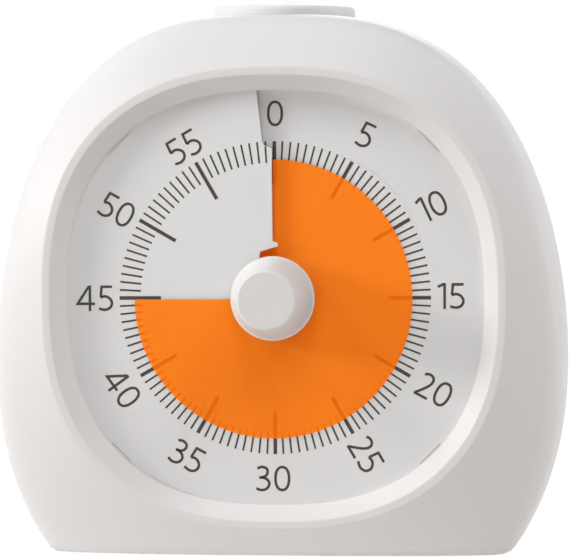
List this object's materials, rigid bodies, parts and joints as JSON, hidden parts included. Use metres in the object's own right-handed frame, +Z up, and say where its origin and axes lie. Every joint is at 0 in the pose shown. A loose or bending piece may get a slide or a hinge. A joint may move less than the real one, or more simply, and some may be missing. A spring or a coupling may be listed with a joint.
{
  "type": "visual countdown timer",
  "caption": "White dome-shaped desktop visual timer with a numbered dial, a see-through orange time disc, a conical centre knob and a round top button.",
  "frame": {"origin": "middle of the overall box, on the plane that the timer stands on", "axes": "+X to the right of the dial as a viewer in front sees it, +Y from the dial to the back, +Z up"},
  "size_m": [0.095, 0.047, 0.0917],
  "materials": {
    "case_white": "satin moulded ABS, a very fine grain",
    "dial_white": "matt moulded plate with printed dark ticks and numbers",
    "disc_orange": "dyed, slightly see-through film",
    "knob_white": "satin moulded ABS",
    "button_white": "satin moulded ABS",
    "frame_grey": "plain moulded plastic",
    "gear_ivory": "plain acetal",
    "steel": "plain turned or rolled steel",
    "spring_steel": "nickel-plated spring wire and strip",
    "copper_wire": "enamelled copper winding",
    "magnet_grey": "sintered magnet",
    "board_green": "glass-fibre board with green lacquer",
    "part_black": "moulded black plastic",
    "speaker_black": "black coated steel cup",
    "slider_grey": "moulded grey plastic",
    "cell_wrap": null
  },
  "bodies": {
    "case": {"front_housing": "case_white", "rear_cover": "case_white", "dial_plate": "dial_white", "mounting_plate": "frame_grey", "transfer_pin": "steel", "motor_coil": "copper_wire", "motor_can": "steel", "movement_cover": "frame_grey", "movement_screws": "steel", "plate_screws": "steel", "case_screws": "steel", "button_spring": "spring_steel", "button_bracket": "frame_grey", "bracket_screws": "steel", "switch_board": "board_green", "tact_switch": "part_black", "circuit_board": "board_green", "board_screws": "steel", "timer_chip": "part_black", "speaker": "speaker_black", "volume_switch": "steel", "battery": "cell_wrap", "flat_contact": "spring_steel", "spring_contact": "spring_steel"},
    "dial_drive": {"spindle": "steel", "knob": "knob_white", "main_wheel": "gear_ivory"},
    "disc": {"timer_disc": "disc_orange"},
    "transfer": {"transfer_gear": "gear_ivory"},
    "rotor": {"motor_pinion": "gear_ivory", "motor_rotor": "magnet_grey"},
    "button": {"top_button": "button_white"},
    "volume": {"volume_slider": "slider_grey"},
    "door": {"battery_door": "case_white"}
  },
  "joints": [
    {"name": "knob_turn", "type": "hinge", "parent": "case", "child": "dial_drive", "pos_m": [0, 0, 0.0424], "axis": [0, 1, 0], "range_deg": [-270, 90]},
    {"name": "disc_feed", "type": "slide", "parent": "dial_drive", "child": "disc", "axis": [0, -1, 0], "range_m": [-0.00113, 0.00038]},
    {"name": "transfer_spin", "type": "hinge", "parent": "case", "child": "transfer", "pos_m": [0.01755, 0, 0.0424], "axis": [0, 1, 0], "range_deg": [-540, 1620]},
    {"name": "rotor_spin", "type": "hinge", "parent": "case", "child": "rotor", "pos_m": [0.01755, 0, 0.05445], "axis": [0, 1, 0], "range_deg": [-6480, 2160]},
    {"name": "button_press", "type": "slide", "parent": "case", "child": "button", "axis": [0, 0, -1], "range_m": [0, 0.0012], "stiffness_N_per_m": 250, "springref_m": -0.002, "deforming": ["button_spring"]},
    {"name": "volume_slide", "type": "slide", "parent": "case", "child": "volume", "axis": [1, 0, 0], "range_m": [-0.002, 0.002]},
    {"name": "door_swing", "type": "hinge", "parent": "case", "child": "door", "pos_m": [0, 0.0235, 0.0151], "axis": [-1, 0, 0], "range_deg": [0, 80]}
  ],
  "couplings": [
    {"joint": "disc_feed", "follows": "knob_turn", "m_per_rad": 0.00023873},
    {"joint": "transfer_spin", "follows": "knob_turn", "ratio": -6},
    {"joint": "rotor_spin", "follows": "knob_turn", "ratio": 24}
  ]
}
